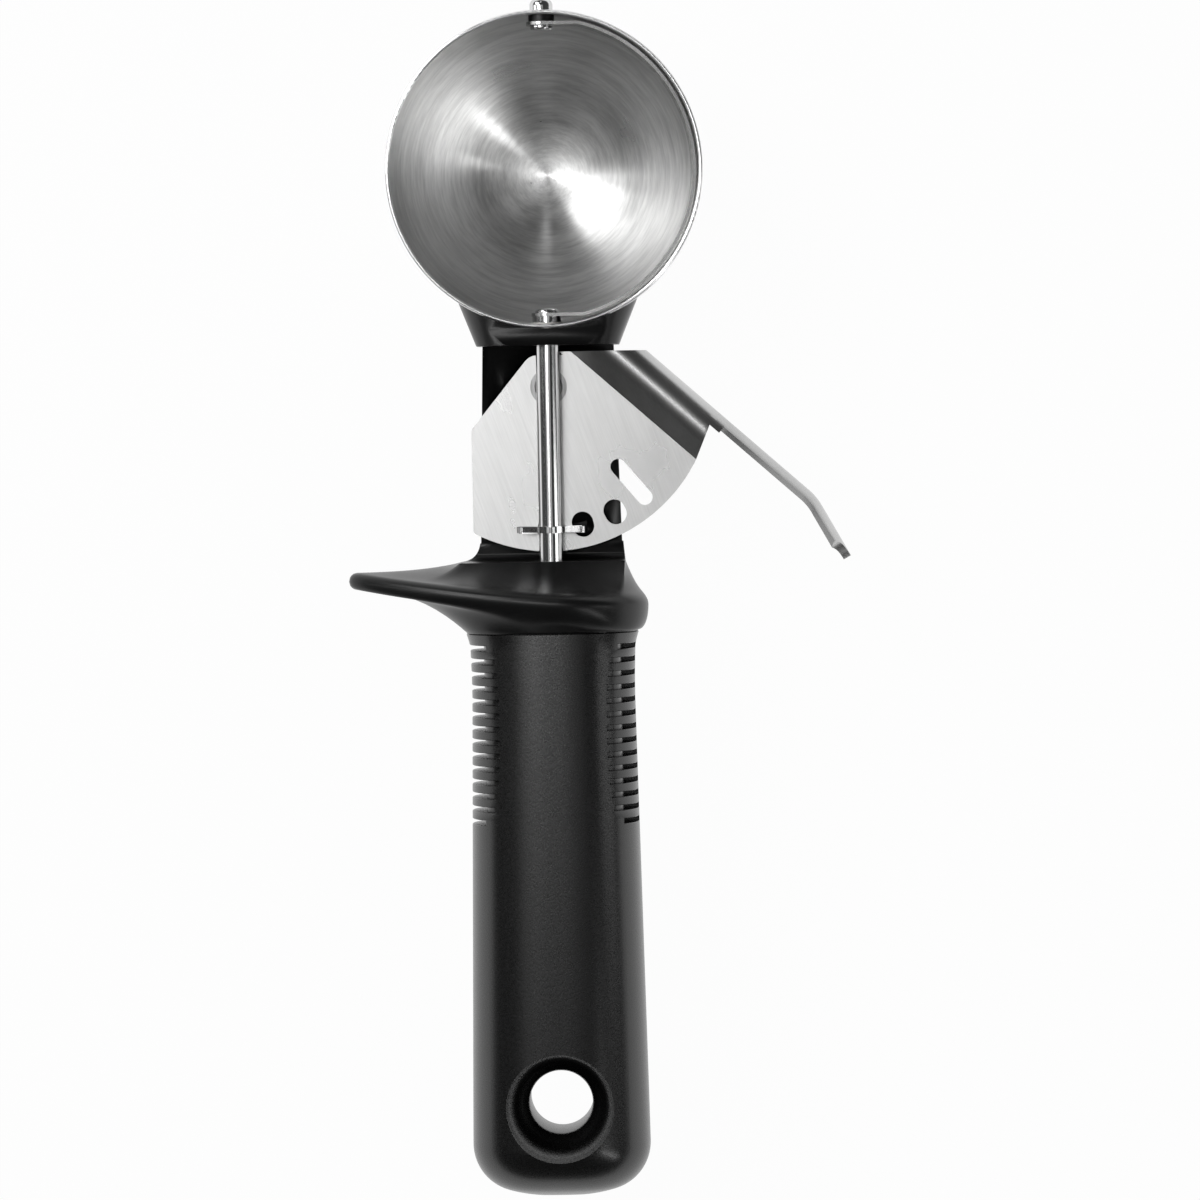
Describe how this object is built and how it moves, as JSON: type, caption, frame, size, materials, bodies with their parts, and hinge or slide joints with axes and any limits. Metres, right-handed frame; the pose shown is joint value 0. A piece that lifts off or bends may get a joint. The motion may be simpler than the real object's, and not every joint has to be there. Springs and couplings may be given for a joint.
{
  "type": "lever ice cream scoop",
  "caption": "Ice cream scoop with a round metal bowl; squeezing its thumb lever turns a blade round inside the bowl to free the scooped ball.",
  "frame": {"origin": "on the axis of the hanging hole, at the handle's back", "axes": "+Z out of the bowl's mouth and the front of the hanging hole, +Y from the handle's end to the bowl, +X towards the lever"},
  "size_m": [0.0932, 0.2217, 0.0459],
  "materials": {
    "spun_steel": "fine circular brushing",
    "sheet_steel": "satin",
    "polished_steel": "polished",
    "spring_steel": "drawn wire",
    "neck_plastic": "satin",
    "core_plastic": "as moulded",
    "soft_grip": "matte, fine grain",
    "bearing_plastic": "as moulded"
  },
  "bodies": {
    "handle": {"bowl": "spun_steel", "bowl_tang": "sheet_steel", "front_washer": "polished_steel", "grip_core": "core_plastic", "grip_sleeve": "soft_grip", "lever_rivet": "polished_steel", "lower_bushing": "bearing_plastic", "neck_housing": "neck_plastic", "rear_washer": "polished_steel", "return_spring": "spring_steel", "spacing_bush": "bearing_plastic", "tang_pins": "spring_steel", "top_pivot_pin": "polished_steel", "top_spacer": "bearing_plastic", "upper_bushing": "bearing_plastic"},
    "lever": {"trigger_lever": "sheet_steel"},
    "blade_shaft": {"drive_shaft": "polished_steel", "hub_washer": "polished_steel", "shaft_clip": "spring_steel", "star_wheel": "polished_steel", "sweep_blade": "sheet_steel"}
  },
  "joints": [
    {"name": "lever_squeeze", "type": "hinge", "parent": "handle", "child": "lever", "pos_m": [0, 0.1325, 0.0087], "axis": [0, 0, -1], "range_deg": [0, 41], "stiffness_Nm_per_rad": 0.25, "springref_deg": -22.92},
    {"name": "blade_sweep", "type": "hinge", "parent": "handle", "child": "blade_shaft", "pos_m": [0, 0.1061, 0.0132], "axis": [0, 1, 0], "range_deg": [0, 175.72]}
  ],
  "couplings": [
    {"joint": "blade_sweep", "follows": "lever_squeeze", "ratio": 4.2857}
  ]
}
